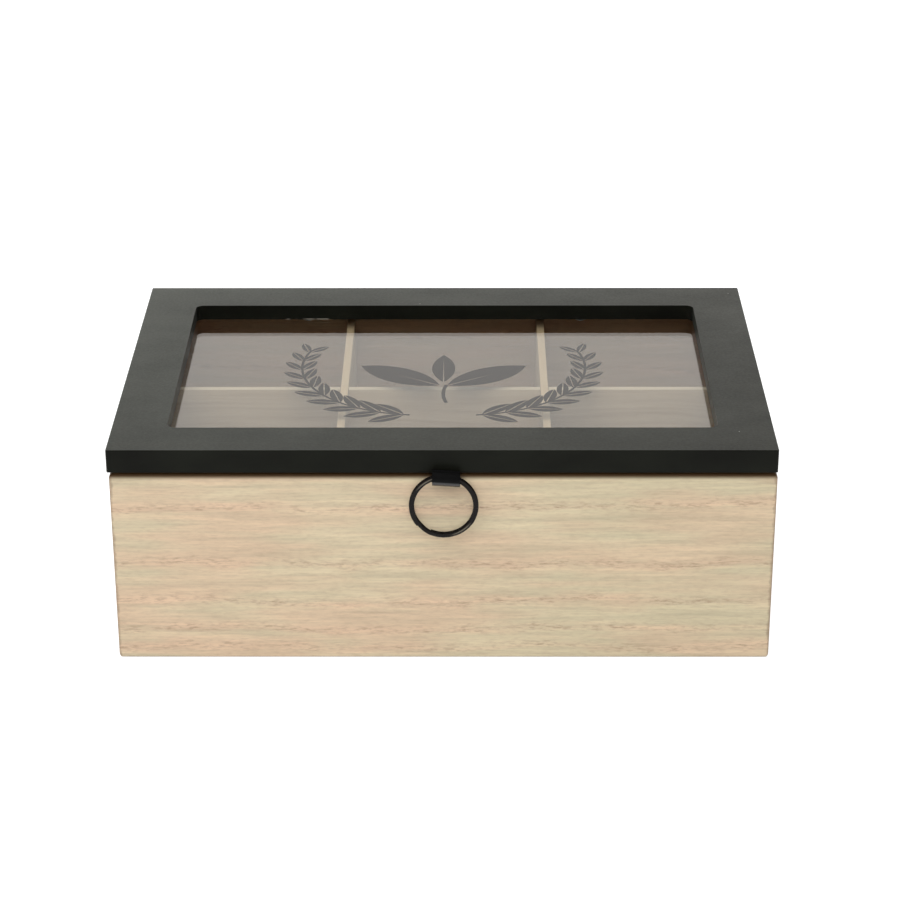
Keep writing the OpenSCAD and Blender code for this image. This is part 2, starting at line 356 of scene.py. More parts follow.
@dataclass(frozen=True)
class Finish:
    """A finish, whose nodes work in millimetres of the object's own coordinates."""

    name: str

    def material(self) -> Material:
        """Builds the finish.

        Returns:
            The material.
        """
        material, add = new_material(self.name)
        lookup = add("TexCoord")
        in_mm = add("VectorMath", {0: lookup.outputs["Object"], "Scale": PER_MM}, "SCALE")
        add("OutputMaterial", {"Surface": self.surface(add, lookup, in_mm)})
        return material

    def surface(self, add: Adder, lookup: Node, in_mm: Node) -> Node:
        """Builds the nodes that make this finish what it is.

        Args:
            add: Adds a node to the material's tree.
            lookup: The object's coordinates and normals.
            in_mm: The place on the object in millimetres.

        Returns:
            The shader.
        """
        raise NotImplementedError


@dataclass(frozen=True)
class RingPorousVeneer(Finish):
    """Pale ring-porous wood, sliced to veneer, glued on fibreboard and lacquered matt.

    Its growth rings show as rows of short dark pore lines with a warmer band beside each row, over a
    fine straight fibre. On rounded edges and sawn ends the brown fibreboard core comes through.
    Rings and rim are heights, edges and depths lie across them, all in millimetres.
    """

    lie: Lie
    rings: tuple[float, ...]
    core_middle: float
    drift: float = 0.0
    rise: float = 0.0
    pale: str = "DDCCAD"
    warm: str = "E3C6A9"
    pore: str = "9C7C68"
    core: str = "A58560"
    line_mark: str = "8A7060"
    # Colour of the painted shade along the rounded rim, under the lid
    rim_painted_shade: str = "503C26"
    inner: Triple = (0.58, 0.46, 0.4)
    # Tone at each end: the wood's own tint, with painted shade that darkens the right end
    left_tone_and_shade: Triple = (1.0, 1.0, 1.0)
    right_tone_and_shade: Triple = (1.0, 1.0, 1.0)
    ramp_mm: float = 100.0
    ramp_start: float = 0.08
    pore_strength: float = 0.72
    core_half: float = 2.7
    inner_from: float = -2.5
    outer_from: float = 2.2
    edge: Pair = (120.0, 120.8)
    rim: Pair = (74.4, 72.5)
    rise_over: Pair = (44.0, 62.0)
    tone_shade_over: Pair = (-20.0, 70.0)
    core_turn: Pair = (0.93, 0.8)

    def surface(self, add: Adder, lookup: Node, in_mm: Node) -> Node:
        """Builds the shader.

        Args:
            add: Adds a node to the material's tree.
            lookup: The object's coordinates and normals.
            in_mm: The place on the object in millimetres.

        Returns:
            The shader.
        """
        parts = add("SeparateXYZ", (in_mm,))
        facing = add("SeparateXYZ", (lookup.outputs["Normal"],))
        along, across, through = (parts.outputs[axis] for axis in self.lie.value)
        place = add("CombineXYZ", (along, across, through))

        # The rings wander slowly, rise to one side and are ragged in detail
        wander = grain_pattern(add, place, (62, 48, 90), 2.0, shift=(self.drift, 3.1, 0.0))
        ragged = grain_pattern(add, place, (9, 3, 9), 3.0, shift=(self.drift, 0.0, 0.0))
        shift_slow = add("Math", (wander, 9.0, -4.5), "MULTIPLY_ADD")
        shift_quick = add("Math", (ragged, 4.0, shift_slow), "MULTIPLY_ADD")
        upper = add("MapRange", (across, *self.rise_over, 0.0, -self.rise / BOX_LENGTH))
        climb = add("Math", (along, upper, shift_quick), "MULTIPLY_ADD")
        height = add("Math", (across, climb), "ADD")
        level = add("Math", (height, 1 / self.ramp_mm, self.ramp_start), "MULTIPLY_ADD")
        rows = add("ValToRGB", (level,))
        stops = [(0.0, 0.0)]
        for ring in self.rings:
            at = (ring + 2.0) / self.ramp_mm + self.ramp_start
            stops += [(at - 0.022, 0.0), (at, 1.0), (at + 0.008, 0.5), (at + 0.03, 0.0)]
        set_ramp(rows, stops)

        # Pores are short dark lines, a few millimetres long and a third of one wide
        pore_noise = grain_pattern(add, place, (3.2, 0.75, 3), 3.0, shift=(self.drift, 0.0, 0.0), roughness=0.6)
        pores = add("MapRange", (pore_noise, 0.45, 0.68))
        spread_noise = grain_pattern(add, place, (15, 5, 20), 2.0, shift=(0.0, self.drift, 0.0))
        spread = add("MapRange", (spread_noise, 0.36, 0.62, 0.25, 1.0))
        in_rows = add("Math", (rows, spread), "MULTIPLY")
        with_few = add("Math", (in_rows, 0.78, 0.22), "MULTIPLY_ADD")
        marks = add("Math", (with_few, pores), "MULTIPLY")

        # Fibres run the length of the sheet, and pale and warm tones lie in long soft patches
        fibres = grain_pattern(add, place, (18, 0.85, 4), 4.0, roughness=0.65)
        patches = grain_pattern(add, place, (55, 9, 60), 2.0, shift=(self.drift, 1.7, 0.0))
        tone = add("MapRange", (patches, 0.4, 0.6, 0.0, 0.75))
        warmer = add("Math", (rows, 0.45, tone), "MULTIPLY_ADD", use_clamp=True)
        base = add("Mix", {0: warmer, 6: self.pale, 7: self.warm}, data_type="RGBA")

        # The tone changes slowly from the left end to the right one: a greener tint of the wood's own, and painted
        # shade that darkens the right end where the light falls off
        place_along = add("MapRange", (along, *self.tone_shade_over))
        tone_and_shade = add("Mix", {
            0: place_along, 6: (*self.left_tone_and_shade, 1.0), 7: (*self.right_tone_and_shade, 1.0)}, data_type="RGBA")
        toned = add("VectorMath", (base, tone_and_shade), "MULTIPLY")

        # Fine fibres and soft bands shade it, and the pores darken it
        bands = grain_pattern(add, place, (48, 3.0, 20), 2.0, shift=(self.drift, 0.4, 0.0))
        both = add("Math", (fibres, bands), "ADD")
        fibre_shade = add("MapRange", (both, 0.6, 1.4, 0.815, 1.14))
        fibred = add("VectorMath", {0: toned, "Scale": fibre_shade}, "SCALE")
        marked = add("Math", (marks, self.pore_strength), "MULTIPLY")
        pored = add("Mix", {0: marked, 6: fibred, 7: self.pore}, data_type="RGBA")

        # The fibreboard core shows where a face turns away from the veneer
        turned = add("Math", (facing.outputs[self.lie.value[2]],), "ABSOLUTE")
        depth = add("Math", (through,), "ABSOLUTE")
        from_middle = add("Math", (depth, self.core_middle), "SUBTRACT")
        off_middle = add("Math", (from_middle,), "ABSOLUTE")
        varied = add("Math", (ragged, 0.25, off_middle), "MULTIPLY_ADD")
        inside = add("Math", (varied, self.core_half), "LESS_THAN")
        away = add("MapRange", (turned, *self.core_turn))
        core_mask = add("Math", (inside, away), "MULTIPLY")
        felt = add("TexNoise", {"Vector": in_mm, "Scale": 2.2, "Detail": 3.0})
        felt_shade = add("MapRange", (felt, 0.3, 0.7, 0.85, 1.12))
        board = add("VectorMath", {0: srgb(self.core)[:3], "Scale": felt_shade}, "SCALE")
        veneered = add("Mix", {0: core_mask, 6: pored, 7: board}, data_type="RGBA")

        # The inner faces have no lacquer and are duller and browner
        within = add("Math", (from_middle, self.inner_from), "LESS_THAN")
        bare = add("VectorMath", (veneered, self.inner), "MULTIPLY")
        bared = add("Mix", {0: within, 6: veneered, 7: bare}, data_type="RGBA")

        # The front's and back's upright outer edges carry a thin ragged line of grey brown
        length = add("Math", (along,), "ABSOLUTE")
        reach = add("Math", (ragged, 2.4, length), "MULTIPLY_ADD")
        line = add("MapRange", (reach, *self.edge, 0.0, 0.5))
        outer = add("Math", (from_middle, self.outer_from), "GREATER_THAN")
        line_mark = add("Math", (line, outer), "MULTIPLY")
        edged = add("Mix", {0: line_mark, 6: bared, 7: self.line_mark}, data_type="RGBA")

        # The rounded rim is darkened to brown, fading into the face below: painted shade of the seam under the
        # lid's overhang
        tall = add("SeparateXYZ", (in_mm,))
        stain_and_shade = add("MapRange", (tall.outputs["Z"], self.rim[1], self.rim[0]), interpolation_type="SMOOTHSTEP")
        colour = add("Mix", {0: stain_and_shade, 6: edged, 7: self.rim_painted_shade}, data_type="RGBA")

        lift = add("Math", (marks, -0.8, fibres), "MULTIPLY_ADD")
        relief = add("Bump", {"Strength": 0.35, "Distance": 0.00006, "Height": lift})
        gloss = add("MapRange", (fibres, 0.3, 0.7, 0.62, 0.5))
        return add("BsdfPrincipled", {
            "Base Color": colour, "Roughness": gloss, "IOR": 1.45,
            "Specular IOR Level": 0.22, "Normal": relief})


@dataclass(frozen=True)
class PlainWood(Finish):
    """Sanded bare wood or thin plywood: soft straight grain with fine pores and no lacquer."""

    lie: Lie
    pale: str = "C3AC8F"
    dark: str = "AC8F70"
    sawn: str = "D9C5AB"
    plies: float = 0.0
    middle_ply: str = "A88457"

    def surface(self, add: Adder, lookup: Node, in_mm: Node) -> Node:
        """Builds the shader.

        Args:
            add: Adds a node to the material's tree.
            lookup: The object's coordinates and normals.
            in_mm: The place on the object in millimetres.

        Returns:
            The shader.
        """
        parts = add("SeparateXYZ", (in_mm,))
        facing = add("SeparateXYZ", (lookup.outputs["Normal"],))
        along, across, through = (parts.outputs[axis] for axis in self.lie.value)
        place = add("CombineXYZ", (along, across, through))
        bend = grain_pattern(add, place, (70, 40, 40), 1.0)
        bent = add("Math", (bend, 9.0, across), "MULTIPLY_ADD")
        line_place = add("CombineXYZ", (along, bent, through))
        lines = grain_pattern(add, line_place, (90, 2.6, 12), 4.0, roughness=0.6)
        fine = grain_pattern(add, place, (5, 0.4, 0.8), 3.0)
        line_tone = add("MapRange", (lines, 0.38, 0.66, 0.1, 0.8))
        base = add("Mix", {0: line_tone, 6: self.pale, 7: self.dark}, data_type="RGBA")
        fine_tone = add("MapRange", (fine, 0.3, 0.7, 0.97, 1.03))
        upward = add("Math", (facing.outputs["Z"], 0.6), "GREATER_THAN")
        faced = add("Mix", {0: upward, 6: base, 7: self.sawn}, data_type="RGBA")
        colour = add("VectorMath", {0: faced, "Scale": fine_tone}, "SCALE")
        if self.plies:
            # The crossed middle ply shows darker on the sheet's sawn edges
            stack = add("Math", (through, math.pi * 2 / self.plies), "MULTIPLY")
            wave = add("Math", (stack,), "SINE")
            flat = add("Math", (facing.outputs[self.lie.value[2]],), "ABSOLUTE")
            edge = add("Math", (flat, 0.5), "LESS_THAN")
            dark = add("Math", (edge, wave), "MULTIPLY", use_clamp=True)
            colour = add("Mix", {0: dark, 6: colour, 7: self.middle_ply}, data_type="RGBA")
        relief = add("Bump", {"Strength": 0.3, "Distance": 0.00005, "Height": fine})
        gloss = add("MapRange", (fine, 0.3, 0.7, 0.8, 0.68))
        return add("BsdfPrincipled", {
            "Base Color": colour, "Roughness": gloss, "IOR": 1.45, "Specular IOR Level": 0.2,
            "Normal": relief})


@dataclass(frozen=True)
class MattBlackPaint(Finish):
    """Matt black water paint, sprayed on sanded fibreboard: even, dull, a little raised by fibres.

    It looks black face on and grey where light grazes its upward faces: a painted sheen, put only on
    those faces and stronger to the left. Dust sits in it in a few grey specks. The lid's underside is left bare.
    """

    name: str = "matt_black_paint_sprayed"
    dark: str = "0F0F0C"
    varied: str = "171813"
    bare: str = "94785A"
    speck: str = "8A8A84"
    glue: str = "8C867C"
    speck_cell: float = 9.0
    speck_r: float = 0.028
    speck_rare: float = 0.8
    # Strength of the painted sheen on upward faces, and how it falls off to the right
    top_sheen: Pair = (0.13, 0.3)
    top_sheen_drift: float = -0.0007
    underside: float = 76.03
    glue_x: float = -56.0
    glue_half: float = 9.0
    window_y: float = 60.0
    glue_top: float = 79.2

    def surface(self, add: Adder, lookup: Node, in_mm: Node) -> Node:
        """Builds the shader.

        Args:
            add: Adds a node to the material's tree.
            lookup: The object's coordinates and normals.
            in_mm: The place on the object in millimetres.

        Returns:
            The shader.
        """
        cloudy = grain_pattern(add, in_mm, (24, 13, 13), 3.0)
        grain = add("TexNoise", {"Vector": in_mm, "Scale": 1.1, "Detail": 4.0, "Roughness": 0.65})
        tone = add("MapRange", (cloudy, 0.3, 0.7))
        base = add("Mix", {0: tone, 6: self.dark, 7: self.varied}, data_type="RGBA")

        # Dust specks: one small dot in few cells of a coarse pattern, on faces that look up
        cells = add("TexVoronoi", {"Vector": in_mm, "Scale": 1 / self.speck_cell})
        near = add("Math", (cells.outputs["Distance"], self.speck_r), "LESS_THAN")
        pick_cell = add("SeparateColor", (cells.outputs["Color"],))
        few = add("Math", (pick_cell.outputs["Red"], self.speck_rare), "GREATER_THAN")
        facing = add("SeparateXYZ", (lookup.outputs["Normal"],))
        up = add("Math", (facing.outputs["Z"], 0.9), "GREATER_THAN")
        dot = add("Math", (near, few), "MULTIPLY")
        speck = add("Math", (dot, up), "MULTIPLY")
        painted = add("Mix", {0: speck, 6: base, 7: self.speck}, data_type="RGBA")

        # The paint stops at the lid's underside, where the board is bare with a little overspray
        spot = add("SeparateXYZ", (in_mm,))
        low = add("Math", (spot.outputs["Z"], self.underside), "LESS_THAN")
        under = add("Math", (facing.outputs["Z"], -0.8), "LESS_THAN")
        below = add("Math", (low, under), "MULTIPLY")
        fuzz = add("MapRange", (grain, 0.35, 0.65, 0.75, 1.15))
        board = add("VectorMath", {0: srgb(self.bare)[:3], "Scale": fuzz}, "SCALE")
        colour = add("Mix", {0: below, 6: painted, 7: board}, data_type="RGBA")

        # A few traces of dried glue lie where the window's back wall meets the glass
        sideways = add("Math", (spot.outputs["X"], self.glue_x), "SUBTRACT")
        astray = add("Math", (sideways,), "ABSOLUTE")
        stretch = add("Math", (astray, self.glue_half), "LESS_THAN")
        deep = add("Math", (spot.outputs["Y"], self.window_y), "SUBTRACT")
        off_wall = add("Math", (deep,), "ABSOLUTE")
        on_wall = add("Math", (off_wall, 0.4), "LESS_THAN")
        foot = add("Math", (spot.outputs["Z"], self.glue_top), "LESS_THAN")
        drops = add("TexNoise", {"Vector": in_mm, "Scale": 1 / 2.6, "Detail": 1.0})
        drop = add("MapRange", (drops, 0.5, 0.62, 0.0, 0.8))
        here = add("Math", (stretch, on_wall), "MULTIPLY")
        there = add("Math", (here, foot), "MULTIPLY")
        glue = add("Math", (there, drop), "MULTIPLY")
        glued = add("Mix", {0: glue, 6: colour, 7: self.glue}, data_type="RGBA")

        # Faces that look up get a sheen, stronger to the left, which greys them at a low angle: painted sheen in
        # place of the light on the lid's top, which falls off to the right
        sheen_spread = add("MapRange", (grain, 0.3, 0.7, *self.top_sheen))
        drift = add("Math", (spot.outputs["X"], self.top_sheen_drift, sheen_spread), "MULTIPLY_ADD")
        top_sheen = add("Math", (up, drift, 0.03), "MULTIPLY_ADD")
        relief = add("Bump", {"Strength": 0.25, "Distance": 0.00006, "Height": grain})
        gloss = add("MapRange", (cloudy, 0.3, 0.7, 0.44, 0.38))
        return add("BsdfPrincipled", {
            "Base Color": glued, "Roughness": gloss, "IOR": 1.45, "Specular IOR Level": 0.15,
            "Specular Tint": (0.96, 1.0, 0.94, 1.0), "Sheen Weight": top_sheen, "Sheen Roughness": 0.4,
            "Sheen Tint": (0.92, 1.0, 0.88, 1.0), "Normal": relief})


@dataclass(frozen=True)
class FloatGlass(Finish):
    """Clear float glass with seamed edges, which mirrors the bright room over what lies under it."""

    name: str = "clear_float_glass"
    tint: str = "F6FBF8"
    passing: Triple = (0.71, 0.71, 0.7)

    def surface(self, add: Adder, lookup: Node, in_mm: Node) -> Node:
        """Builds the shader.

        Args:
            add: Adds a node to the material's tree.
            lookup: The object's coordinates and normals. Not used here.
            in_mm: The place on the object in millimetres.

        Returns:
            The shader.
        """
        smears = add("TexNoise", {"Vector": in_mm, "Scale": 1 / 30, "Detail": 3.0})
        film = add("MapRange", (smears, 0.45, 0.8, 0.0, 0.03))
        pane = add("BsdfPrincipled", {
            "Base Color": self.tint, "Roughness": film, "IOR": 1.52, "Transmission Weight": 1.0})

        # Lamps and soft light pass straight, dimmed as by two faces of glass
        clear = add("BsdfTransparent", {"Color": (*self.passing, 1.0)})
        path = add("LightPath")
        straight = add("Math", (path.outputs["Is Shadow Ray"], path.outputs["Is Diffuse Ray"]), "MAXIMUM")
        return add("MixShader", (straight, pane, clear))


@dataclass(frozen=True)
class Metal(Finish):
    """A satin metal surface with fine working marks and slight staining."""

    colour: str
    stain_and_shade: str
    marks: Triple
    rough: float = 0.34

    def surface(self, add: Adder, lookup: Node, in_mm: Node) -> Node:
        """Builds the shader.

        Args:
            add: Adds a node to the material's tree.
            lookup: The object's coordinates and normals. Not used here.
            in_mm: The place on the object in millimetres.

        Returns:
            The shader.
        """
        drawn = grain_pattern(add, in_mm, self.marks, 3.0)
        cloud = add("TexNoise", {"Vector": in_mm, "Scale": 1 / 4, "Detail": 4.0})
        stained = add("MapRange", (cloud, 0.45, 0.75, 0.0, 0.8))
        colour = add("Mix", {0: stained, 6: self.colour, 7: self.stain_and_shade}, data_type="RGBA")
        gloss = add("MapRange", (drawn, 0.3, 0.7, self.rough - 0.06, self.rough + 0.1))
        relief = add("Bump", {"Strength": 0.2, "Distance": 0.00002, "Height": drawn})
        return add("BsdfPrincipled", {
            "Base Color": colour, "Metallic": 1.0, "Roughness": gloss, "Normal": relief})


@dataclass(frozen=True)
class Leathercloth(Finish):
    """Cloth coated with black polyurethane and pressed with a fine grain: black, with a low sheen."""

    name: str = "black_leathercloth_pressed"
    dark: str = "080808"
    varied: str = "101010"

    def surface(self, add: Adder, lookup: Node, in_mm: Node) -> Node:
        """Builds the shader.

        Args:
            add: Adds a node to the material's tree.
            lookup: The object's coordinates and normals.
            in_mm: The place on the object in millimetres.

        Returns:
            The shader.
        """
        pebbles = add("TexVoronoi", {"Vector": in_mm, "Scale": 1 / 0.55})
        cloud = add("TexNoise", {"Vector": in_mm, "Scale": 1 / 2.5, "Detail": 3.0})
        base = add("Mix", {0: cloud, 6: self.dark, 7: self.varied}, data_type="RGBA")
        relief = add("Bump", {
            "Strength": 0.2, "Distance": 0.00003, "Height": pebbles.outputs["Distance"]}, invert=True)

        # Faces that look down are made glossy and strongly reflective, the rest dull: reflection placed by facing,
        # so that only the fold's underside mirrors the bright floor
        facing = add("SeparateXYZ", (lookup.outputs["Normal"],))
        down_facing = add("MapRange", (facing.outputs["Z"], -0.08, -0.24))
        gloss = add("MapRange", {0: down_facing, 3: 0.5, 4: 0.16})
        mirror = add("MapRange", {0: down_facing, 3: 0.12, 4: 0.95})
        return add("BsdfPrincipled", {
            "Base Color": base, "Roughness": gloss, "IOR": 1.5,
            "Specular IOR Level": mirror, "Normal": relief})


@dataclass(frozen=True)
class LacqueredWire(Finish):
    """Flat spring wire under deep black lacquer, with a painted highlight: a grey line along its middle at two
    places.
    """

    name: str = "black_lacquered_spring_wire"
    dark: str = "080707"
    brown: str = "17120F"
    # The painted highlight line: its colour, its direction across the ring, its reach and its width
    line_mark: str = "6E685C"
    highlight_way: Triple = (-0.57, 0.0, 0.82)
    highlight_reach: Pair = (10.7, 11.4)
    highlight_width: Pair = (0.36, 0.1)
    centre: Pair = (0.25, 64.397)
    middle: float = 11.55

    def surface(self, add: Adder, lookup: Node, in_mm: Node) -> Node:
        """Builds the shader.

        Args:
            add: Adds a node to the material's tree.
            lookup: The object's coordinates and normals. Not used here.
            in_mm: The place on the object in millimetres.

        Returns:
            The shader.
        """
        cloud = add("TexNoise", {"Vector": in_mm, "Scale": 1 / 1.8, "Detail": 4.0})
        base = add("Mix", {0: cloud, 6: self.dark, 7: self.brown}, data_type="RGBA")
        # Painted highlight: a grey line along the wire's middle, at two places opposite each other on the ring
        parts = add("SeparateXYZ", (in_mm,))
        aside = add("Math", (parts.outputs["X"], self.centre[0]), "SUBTRACT")
        above = add("Math", (parts.outputs["Z"], self.centre[1]), "SUBTRACT")
        spoke = add("CombineXYZ", {0: aside, 2: above})
        reach = add("VectorMath", (spoke,), "LENGTH")
        off = add("Math", (reach.outputs["Value"], self.middle), "SUBTRACT")
        off_line = add("Math", (off,), "ABSOLUTE")
        on_line = add("MapRange", (off_line, *self.highlight_width))
        lean = add("VectorMath", (spoke, self.highlight_way), "DOT_PRODUCT")
        span = add("Math", (lean.outputs["Value"],), "ABSOLUTE")
        places = add("MapRange", (span, *self.highlight_reach, 0.0, 0.9))
        line_mark = add("Math", (on_line, places), "MULTIPLY")
        varied = add("Mix", {0: line_mark, 6: base, 7: self.line_mark}, data_type="RGBA")
        relief = add("Bump", {"Strength": 0.15, "Distance": 0.00003, "Height": cloud})
        gloss = add("MapRange", (cloud, 0.3, 0.7, 0.2, 0.34))
        return add("BsdfPrincipled", {
            "Base Color": varied, "Roughness": gloss, "IOR": 1.5, "Specular IOR Level": 0.22,
            "Normal": relief})


@dataclass(frozen=True)
class PrintInk(Finish):
    """Black screen ink, fired on the underside of the glass: dull, dense, with a few thin spots."""

    name: str = "black_screen_ink"
    dense: str = "0C0D0D"
    thin: str = "1C1E1E"

    def surface(self, add: Adder, lookup: Node, in_mm: Node) -> Node:
        """Builds the shader.

        Args:
            add: Adds a node to the material's tree.
            lookup: The object's coordinates and normals. Not used here.
            in_mm: The place on the object in millimetres.

        Returns:
            The shader.
        """
        mesh_marks = add("TexNoise", {"Vector": in_mm, "Scale": 1 / 0.6, "Detail": 3.0})
        thin = add("MapRange", (mesh_marks, 0.55, 0.8, 0.0, 0.7))
        base = add("Mix", {0: thin, 6: self.dense, 7: self.thin}, data_type="RGBA")
        gloss = add("MapRange", (mesh_marks, 0.3, 0.7, 0.55, 0.7))
        return add("BsdfPrincipled", {
            "Base Color": base, "Roughness": gloss, "IOR": 1.45, "Specular IOR Level": 0.2})


# The studio


@dataclass
class Studio:
    """The floor, the light and the camera. Lengths are in metres and angles in degrees."""

    camera_place: Triple = (0.007578, -0.937268, 0.480146)
    pitch: float = 24.745
    yaw: float = -0.337
    roll: float = -0.150
    lens: float = 105.99
    floor_size: float = 14.0
    floor_grey: float = 0.42
    floor_glow: float = 0.85
    floor_mirrored: float = 0.4
    ambient: float = 0.2
    backdrop: float = 1.19
    front_room: float = 0.08
    mirrored_tint: Triple = (1.0, 0.96, 0.92)
    aim: Triple = (0.0, 0.0, 0.04)

    def build(self) -> None:
        """Builds the camera, the floor, the world and the lamps."""
        self.build_camera()
        self.build_floor()
        self.build_world()
        self.build_lamps()
        bpy.context.scene.view_settings.view_transform = "Standard"
        log.info("studio: camera, floor, world and lamps")

    def build_camera(self) -> None:
        """Places the camera where the photograph's perspective puts it."""
        pitch, yaw, roll = (math.radians(a) for a in (self.pitch, self.yaw, self.roll))
        ahead = Vector((math.sin(yaw) * math.cos(pitch), math.cos(yaw) * math.cos(pitch), -math.sin(pitch)))
        level = Vector((math.cos(yaw), -math.sin(yaw), 0.0))
        upright = level.cross(ahead)
        right = math.cos(roll) * level + math.sin(roll) * upright
        up = -math.sin(roll) * level + math.cos(roll) * upright
        data = bpy.data.cameras.new("camera")
        data.lens = self.lens
        data.sensor_width = 36.0
        data.clip_start = 0.05
        data.clip_end = 50.0
        camera = bpy.data.objects.new("camera", data)
        bpy.context.scene.collection.objects.link(camera)
        turn = Matrix((right, up, -ahead)).transposed().to_4x4()
        camera.matrix_world = Matrix.Translation(Vector(self.camera_place)) @ turn
        bpy.context.scene.camera = camera

    def build_floor(self) -> None:
        """Lays a floor of matt paper, lit up so that the camera sees it white, which keeps the object's shadow."""
        deselect_all()
        bpy.ops.mesh.primitive_plane_add(size=self.floor_size, location=(0, 0, -0.0001))
        floor = bpy.context.object
        floor.name = "studio_floor"
        bpy.ops.object.transform_apply()
        material, add = new_material("studio_floor_white")
        paper = add("BsdfDiffuse", {"Color": (*[self.floor_grey] * 3, 1.0)})
        path = add("LightPath")
        seen = add("Math", (path.outputs["Is Camera Ray"], path.outputs["Is Transmission Ray"]), "MAXIMUM")
        mirrored = add("Math", (path.outputs["Is Glossy Ray"], self.floor_mirrored), "MULTIPLY")
        strength = add("Math", (seen, self.floor_glow, mirrored), "MULTIPLY_ADD")
        glow = add("Emission", {"Color": "FFFFFF", "Strength": strength})
        both = add("AddShader", (paper, glow))
        add("OutputMaterial", {"Surface": both})
        floor.data.materials.append(material)

    def build_world(self) -> None:
        """Surrounds the object with soft light, a white backdrop behind and a dim room in front."""
        world = bpy.data.worlds.new("studio")
        bpy.context.scene.world = world
        world.use_nodes = True
        world.node_tree.nodes.clear()
        add = partial(add_node, world.node_tree)
        path = add("LightPath")
        lookup = add("TexCoord")
        parts = add("SeparateXYZ", (lookup.outputs["Generated"],))
        room = add("MapRange", (parts.outputs["Y"], 0.3, 0.85, self.front_room, self.backdrop))
        seen = add("Math", (path.outputs["Is Camera Ray"], path.outputs["Is Transmission Ray"]), "MAXIMUM")
        mirrored = add("Mix", {
            0: path.outputs["Is Glossy Ray"], 2: self.ambient, 3: room}, data_type="FLOAT")
        level = add("Mix", {0: seen, 2: mirrored, 3: 1.0}, data_type="FLOAT")
        tint = add("Mix", {
            0: path.outputs["Is Glossy Ray"], 6: "FFFFFF", 7: (*self.mirrored_tint, 1.0)}, data_type="RGBA")
        light = add("Background", {"Color": tint, "Strength": level})
        add("OutputWorld", {"Surface": light})

    def build_lamps(self) -> None:
        """Hangs a large soft lamp high above the front, a low one before it, and weak ones beside and behind."""
        for name, place, size, watts in (
            ("key", (-0.4, -0.85, 2.05), 2.6, 65.0), ("front", (0.1, -2.2, 0.25), 0.9, 12.0),
            ("fill", (1.3, -0.9, 1.3), 1.2, 3.0), ("back", (-0.5, 1.7, 1.1), 1.2, 8.0),
            ("low_back", (-0.3, 2.2, 0.3), 0.9, 6.0), ("low_left", (-2.2, 0.2, 0.3), 0.9, 6.0),
            ("low_right", (2.2, 0.2, 0.3), 0.9, 4.0),
        ):
            self.lamp(name, place, size, watts)

    def lamp(self, name: str, place: Triple, size: float, watts: float) -> None:
        """Hangs one square lamp that looks at the object.

        Args:
            name: The lamp's name.
            place: Where it hangs.
            size: Its side.
            watts: Its power.
        """
        data = bpy.data.lights.new(name, "AREA")
        data.size = size
        data.energy = watts
        lamp = bpy.data.objects.new(name, data)
        bpy.context.scene.collection.objects.link(lamp)
        turn = (Vector(self.aim) - Vector(place)).to_track_quat("-Z", "Y")
        lamp.matrix_world = Matrix.Translation(Vector(place)) @ turn.to_matrix().to_4x4()
        lamp.visible_glossy = False
        lamp.visible_transmission = False


# The box


@dataclass
class Carcass:
    """The four walls, the floor sheet and the dividers. Lengths are in millimetres."""

    wall_middle_y: float = 76.0
    wall_middle_x: float = 117.0
    divider_edge: float = 0.25
    foot_r: float = 2.0
    foot_cuts: int = 5

    def build(self) -> None:
        """Builds and dresses the walls, the floor sheet and the dividers."""
        walls = {
            "front": RingPorousVeneer(
                "ring_porous_veneer_front", Lie.FRONT, (4.6, 12.5, 24.0, 39.0, 61.5), self.wall_middle_y, 0.0, 4.5,
                left_tone_and_shade=(1.012, 1.028, 1.03), right_tone_and_shade=(0.95, 0.99, 0.98)),
            "back": RingPorousVeneer(
                "ring_porous_veneer_back", Lie.FRONT, (8.0, 19.0, 33.0, 50.0, 66.0), self.wall_middle_y, 6.3,
                -3.0),
            "left": RingPorousVeneer(
                "ring_porous_veneer_left", Lie.SIDE, (6.0, 15.0, 29.0, 44.0, 60.0), self.wall_middle_x, 11.9),
            "right": RingPorousVeneer(
                "ring_porous_veneer_right", Lie.SIDE, (9.0, 22.0, 36.0, 47.0, 64.0), self.wall_middle_x, 17.2),
        }
        for side, finish in walls.items():
            wall = refined_copy(f"{side}_panel", f"{side}_wall")
            self.round_feet(wall)
            finish_piece(wall, finish.material(), Body.BOX)
        sheet = PlainWood("sanded_thin_plywood", Lie.FLOOR, "D6BF9A", "C9AC84", "C9AE8A", 2.0)
        finish_piece(refined_copy("floor_panel", "floor_sheet"), sheet.material(), Body.BOX)
        long_wood = PlainWood("sanded_divider_wood_long", Lie.FRONT).material()
        cross_wood = PlainWood("sanded_divider_wood_cross", Lie.SIDE, sawn="D9BD9A").material()
        long_piece = refined_copy("long_divider", "divider_side_to_side", self.divider_edge)
        finish_piece(long_piece, long_wood, Body.BOX)
        for side in ("left", "right"):
            piece = refined_copy(f"{side}_cross_divider", f"{side}_divider_front_to_back", self.divider_edge)
            finish_piece(piece, cross_wood, Body.BOX)

    def round_feet(self, wall: Object) -> None:
        """Rounds the lower outer edges at the box's two ends with a fan of cuts.

        Args:
            wall: The wall whose share of these edges is cut.
        """
        edit_all(wall)
        for side in (-1, 1):
            centre = Vector((side * (BOX_LENGTH / 2 - self.foot_r), 0.0, self.foot_r))
            for step in range(self.foot_cuts):
                lean = math.radians(90.0 / self.foot_cuts * (step + 0.5))
                away = Vector((side * math.cos(lean), 0.0, -math.sin(lean)))
                bpy.ops.mesh.select_all(action="SELECT")
                bpy.ops.mesh.bisect(
                    plane_co=(centre + away * self.foot_r) * MM, plane_no=away, clear_outer=True, use_fill=True)
        bpy.ops.object.mode_set(mode="OBJECT")
        bpy.ops.object.shade_smooth_by_angle(angle=math.radians(SMOOTH_ANGLE))
        deselect_all()


